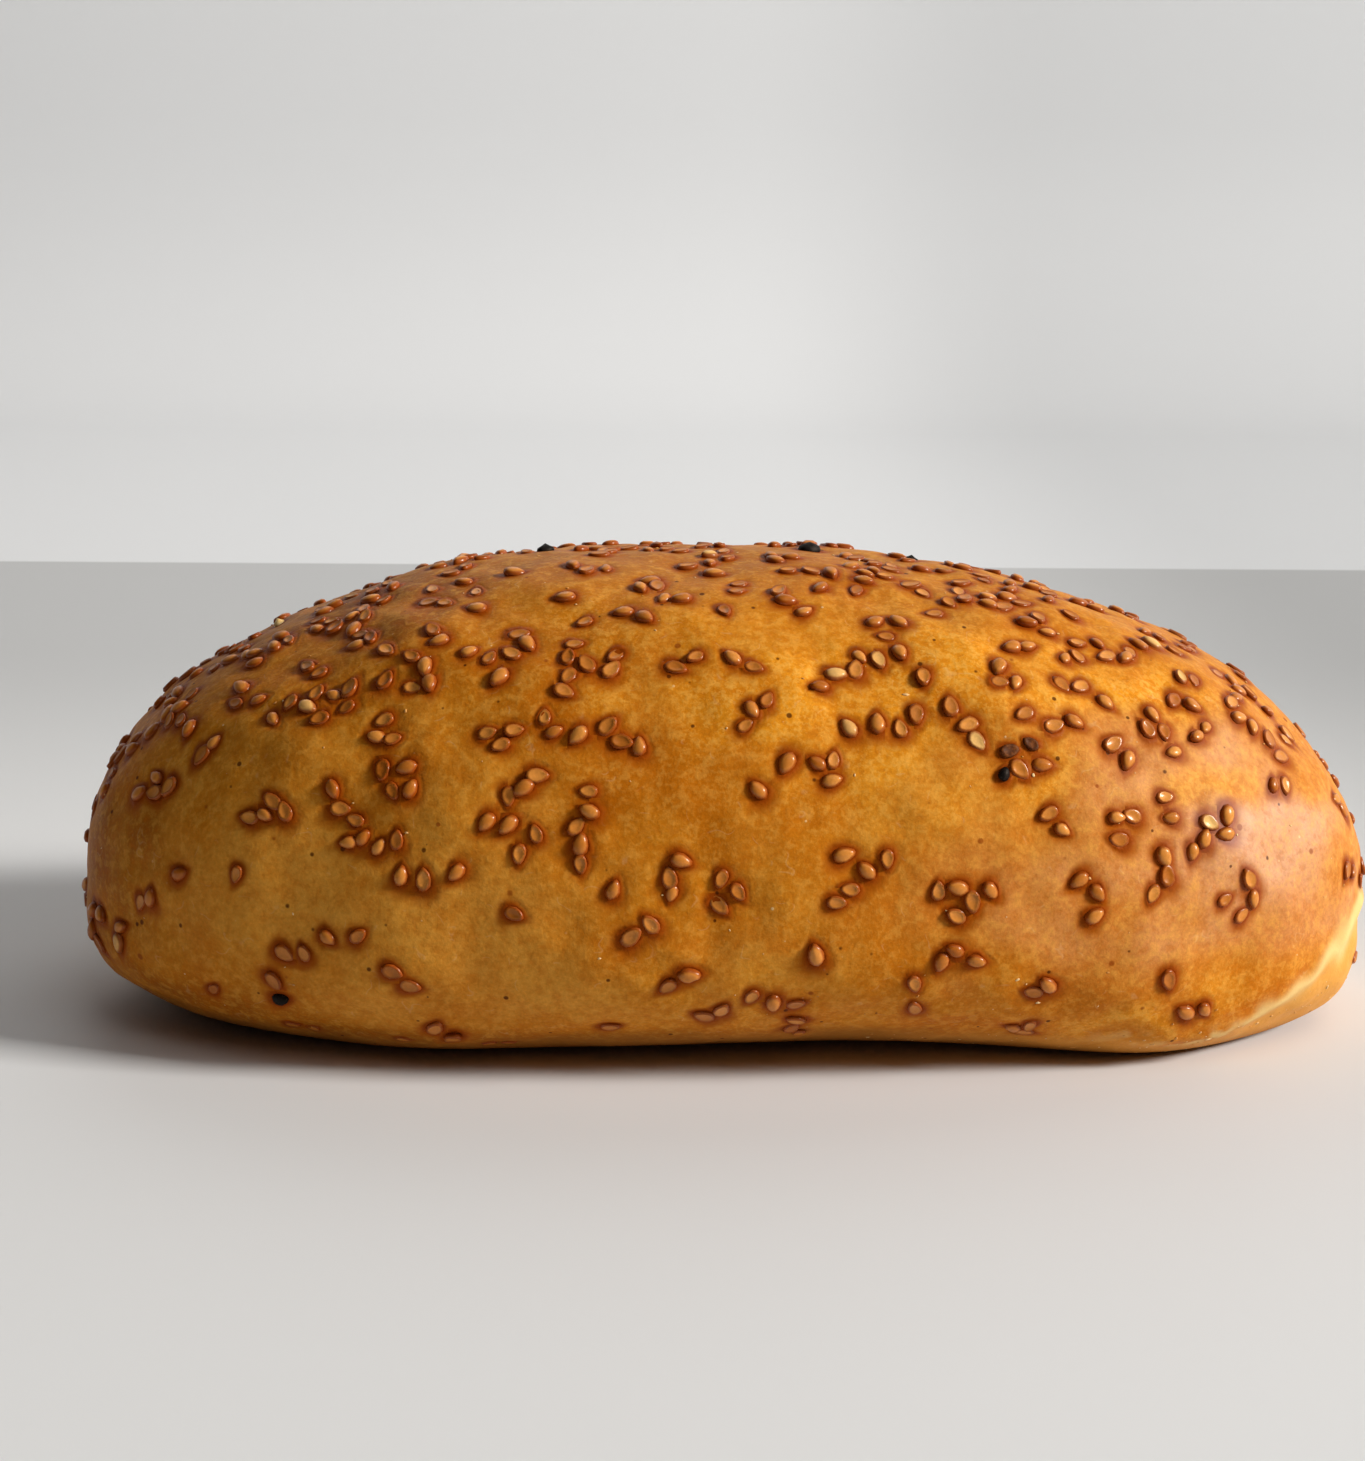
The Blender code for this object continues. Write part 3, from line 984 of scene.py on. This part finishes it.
def oddRows(kind):
    rows = np.array(oddSeeds[kind])
    rows[:, :2] = np.radians(rows[:, :2])
    return rows


def oddFinish(name, dark, light):
    finish = Finish(name, Specular_IOR_Level=0.18)
    finish.shader.inputs["Specular Tint"].default_value = (1.0, 0.80, 0.60, 1)
    grain = finish.place.noise(1800, 3.0, 0.6)
    finish.feed(Base_Color=mix(grain.rise(0.4, 0.7), dark, light), Roughness=0.42 + 0.25 * grain)
    finish.bump(0.05 * grain, 0.8)
    return finish.material


crumbForm = {
    "draw": 21,
    "scattered": 120,
    "nearSeeds": 110,
    "footCrumbs": 90,
    "angles": (-35, 215),
    "besideSeed": (0.0015, 0.0024),  # how far from a seed's middle the ones near seeds lie
    "footAlong": (0.62, 0.20),  # middle and spread, as a share of half the length
    "footAngle": (-44, 5),
    "size": (-9.15, 0.42),  # median and spread of the radius, as logarithms
    "largest": 0.00036,
    "knock": (0.65, 1.35),
    "stretch": (1.0, 2.2),
    "flatness": 0.45,
    "sides": 6,
    "rings": (-50, 0, 50),
}


def crumbFinish():
    finish = Finish("paleCrumb", Specular_IOR_Level=0.3)
    tone = finish.attribute("crumbTone").part(0)
    base = mix(tone.rise(0.2, 1.0), (0.620, 0.270, 0.050), (0.860, 0.620, 0.300))
    finish.feed(Base_Color=base, Roughness=0.55 + 0.1 * tone)
    return finish.material


def buildCrumbs(places):
    # Husk and crumb bits: spheres of few sides, flattened and knocked out of shape by noise
    draw = np.random.default_rng(crumbForm["draw"])
    count = crumbForm["scattered"] + crumbForm["nearSeeds"] + crumbForm["footCrumbs"]
    along = np.arcsin(draw.uniform(-0.95, 0.95, count))
    around = np.radians(draw.uniform(*crumbForm["angles"], count))
    near = slice(crumbForm["scattered"], crumbForm["scattered"] + crumbForm["nearSeeds"])
    chosen = places[draw.integers(len(places), size=crumbForm["nearSeeds"])]
    heading = draw.uniform(0, 2 * math.pi, len(chosen))
    step = draw.uniform(*crumbForm["besideSeed"], len(chosen))
    ahead, roundIt = crustSlopes(chosen[:, 0], chosen[:, 1])
    along[near] = chosen[:, 0] + step * np.cos(heading) / np.linalg.norm(ahead, axis=-1)
    around[near] = chosen[:, 1] + step * np.sin(heading) / np.linalg.norm(roundIt, axis=-1)
    foot = slice(near.stop, count)
    reach = draw.normal(*crumbForm["footAlong"], crumbForm["footCrumbs"])
    along[foot] = np.arcsin(np.clip(reach, -0.9, 0.93))
    around[foot] = np.radians(draw.normal(*crumbForm["footAngle"], crumbForm["footCrumbs"]))
    point, tip, beside, normal = tangentFrame(along, around)
    point = point + normal * broadRelief(point)[:, None]
    sides, rings = crumbForm["sides"], np.radians(crumbForm["rings"])
    turn = np.arange(sides) / sides * 2 * math.pi
    size = np.minimum(draw.lognormal(*crumbForm["size"], count), crumbForm["largest"])[:, None, None]
    knock = draw.uniform(*crumbForm["knock"], (count, len(rings), sides))
    stretch = draw.uniform(*crumbForm["stretch"], (count, 1, 1))
    x = size * knock * np.cos(rings)[:, None] * np.cos(turn) * stretch
    y = size * knock * np.cos(rings)[:, None] * np.sin(turn)
    z = size * crumbForm["flatness"] * np.sin(rings)[:, None] * np.ones(sides) + 0 * x
    local = np.stack([x, y, z], -1).reshape(count, -1, 3)
    middle = np.zeros((count, 2, 3))
    middle[:, 0, 2], middle[:, 1, 2] = -0.5 * size[:, 0, 0], 0.5 * size[:, 0, 0]
    local = np.concatenate([local, middle], 1)
    spin = draw.uniform(0, 2 * math.pi, (count, 1))
    tip, beside = tip * np.cos(spin) + beside * np.sin(spin), beside * np.cos(spin) - tip * np.sin(spin)
    points = point[:, None, :] + local @ np.stack([tip, beside, normal], 1)
    mesh = joinedMesh("crumbs", points, len(rings), sides)
    setVectors(mesh, "crumbTone", "POINT", np.repeat(draw.random(count), 3 * points.shape[1]))
    return makePiece("crumbs", mesh, crumbFinish())


studio = {
    "floorTone": (0.75, 0.75, 0.745),
    "floorShade": 0.26,  # how much it darkens towards the back and again towards the right
    "shadeDepths": (0.04, 0.24),
    "shadeAcross": (0.06, 0.16),
    # painted shade: the floor's back part and the wall are darker to the right
    "backShadeTones": ((0.80, 0.805, 0.81), (0.62, 0.625, 0.63)),  # of the floor's back part, left and right
    "wallShadeTones": ((0.76, 0.765, 0.77), (0.64, 0.645, 0.65)),
    "toneAcross": (0.02, 0.16),
    "backFrom": (0.349, 0.353),  # where the paler back part begins
    "wallAt": 0.800,
    "wallBlend": 0.10,  # up to this height the floor's tone passes into the wall's
    "wallRound": 0.120,
    "halfWidth": 3.0,
    "nearEdge": -3.0,
    "wallHeight": 2.5,
    "worldTone": (0.95, 0.97, 1.0),
    "world": 0.014,
    "skyline": 0.60,  # how bright it looks past the floor's edge
}

# Each light stands in a direction from the roll, given by its turn from +X towards the back and its
# height in degrees, at a distance in metres, and has a size in metres, a power in watts and a tint
lights = {
    "window": (-16, 28, 3.0, 0.60, 114.0, (1.0, 0.98, 0.95)),
    "frontFill": (-55, 60, 1.4, 0.90, 2.6, (1.0, 0.99, 0.98)),
    "backFill": (105, 45, 0.90, 0.40, 0.45, (1.0, 0.99, 0.98)),
}


def buildStage():
    # a pale floor that turns up into a wall: the profile is swept from side to side
    arc = np.linspace(0, math.pi / 2, 9)
    bend = studio["wallRound"]
    wall = studio["wallAt"]
    profile = [(studio["nearEdge"], 0.0)]
    profile += [(wall - bend + bend * math.sin(a), bend - bend * math.cos(a)) for a in arc]
    profile += [(wall, studio["wallHeight"])]
    y, z = np.array(profile).T
    half = studio["halfWidth"]
    points = np.concatenate([np.stack([np.full(len(y), side), y, z], -1) for side in (-half, half)])
    row = np.arange(len(y) - 1)
    faces = np.stack([row, row + len(y), row + len(y) + 1, row + 1], -1)
    floor = bpy.data.objects.new("paleFloor", makeMesh("paleFloor", points, [faces]))
    bpy.context.scene.collection.objects.link(floor)
    finish = Finish("paleFloor", Specular_IOR_Level=0.25, Roughness=0.7)
    x, y, z = (finish.place.part(axis) for axis in range(3))
    # painted shade: the floor darkens towards the back and the right, and its back part and the wall
    # darken to the right
    towardsBack = 1 - studio["floorShade"] * y.rise(*studio["shadeDepths"])
    towardsRight = 1 - studio["floorShade"] * x.rise(*studio["shadeAcross"])
    front = darken(studio["floorTone"], towardsBack * towardsRight)
    atRight = x.rise(*studio["toneAcross"])
    ground = mix(y.rise(*studio["backFrom"]), front, mix(atRight, *studio["backShadeTones"]))
    onWall = z.rise(0.0, studio["wallBlend"])
    finish.feed(Base_Color=mix(onWall, ground, mix(atRight, *studio["wallShadeTones"])))
    floor.data.materials.append(finish.material)


def buildLights():
    target = Vector((0, 0, 0.03))
    for name, (turn, height, away, size, watts, tint) in lights.items():
        data = bpy.data.lights.new(name, "AREA")
        data.size = size
        data.energy = watts
        data.color = tint
        lamp = bpy.data.objects.new(name, data)
        turn, height = math.radians(turn), math.radians(height)
        level = math.cos(height) * away
        lamp.location = (level * math.cos(turn), level * math.sin(turn), math.sin(height) * away)
        lamp.rotation_euler = (target - lamp.location).to_track_quat("-Z", "Y").to_euler()
        bpy.context.scene.collection.objects.link(lamp)
    world = bpy.data.worlds.new("studio")
    world.use_nodes = True
    background = world.node_tree.nodes["Background"]
    background.inputs["Color"].default_value = (*studio["worldTone"], 1)
    rays = Wire(world.node_tree, world.node_tree.nodes.new("ShaderNodeLightPath").outputs["Is Camera Ray"])
    strength = studio["world"] + (studio["skyline"] - studio["world"]) * rays
    world.node_tree.links.new(strength.socket, background.inputs["Strength"])
    bpy.context.scene.world = world
    bpy.context.scene.view_settings.view_transform = "Standard"


view = {
    "target": (-0.00563, 0.0, 0.03609),  # what the middle of the picture shows
    "distance": 0.340,
    "elevation": 13.11,
    "swing": 0.848,  # the camera's turn round the roll
    "lean": 0.518,  # and how far it leans to its side
    "lens": 63.0,  # with 36 mm across the picture's long side
}


def buildCamera():
    data = bpy.data.cameras.new("camera")
    data.lens = view["lens"]
    data.sensor_width = 36
    data.clip_start = 0.01
    camera = bpy.data.objects.new("camera", data)
    bpy.context.scene.collection.objects.link(camera)
    elevation = math.radians(view["elevation"])
    back = Vector((0, -math.cos(elevation), math.sin(elevation))) * view["distance"]
    swing = Matrix.Rotation(-math.radians(view["swing"]), 4, "Z")
    place = Matrix.Translation(Vector(view["target"]) + back)
    tilt = Matrix.Rotation(math.pi / 2 - elevation, 4, "X")
    camera.matrix_world = swing @ place @ tilt @ Matrix.Rotation(math.radians(view["lean"]), 4, "Z")
    bpy.context.scene.camera = camera


buildCamera()
buildLights()
buildStage()
print("camera, lights and floor are in place")

allSeeds = sprinkle()
strays = np.concatenate([oddRows(kind) for kind in oddSeeds])
_, clearance = nearest(crustPoint(allSeeds[:, 0], allSeeds[:, 1]), crustPoint(strays[:, 0], strays[:, 1]))
allSeeds = allSeeds[clearance > sprinkling["gap"]]
print(len(allSeeds), "sesame seeds sprinkled")

crustPiece = buildCrust(allSeeds, strays)
print("crust has", len(crustPiece.data.polygons), "faces")

lot = np.random.default_rng(seedForm["draw"])
luck = lot.random(len(allSeeds))
sesame = seedFinish()
for form, (first, last) in seedForm["shares"].items():
    chosen = allSeeds[(luck >= first) & (luck < last)]
    piece = buildSeeds(form + "Seeds", chosen, seedForm[form], seedForm["crowns"][form], sesame, lot)
    print(piece.name, len(chosen))
for kind, (form, crown, stretch) in oddForms.items():
    skin = oddFinish(kind + "Seed", *oddColours[kind]) if kind in oddColours else sesame
    buildSeeds(kind + "Seeds", oddRows(kind), seedForm[form], crown, skin, lot, stretch)
buildCrumbs(allSeeds)
print("seeds and crumbs are laid on")
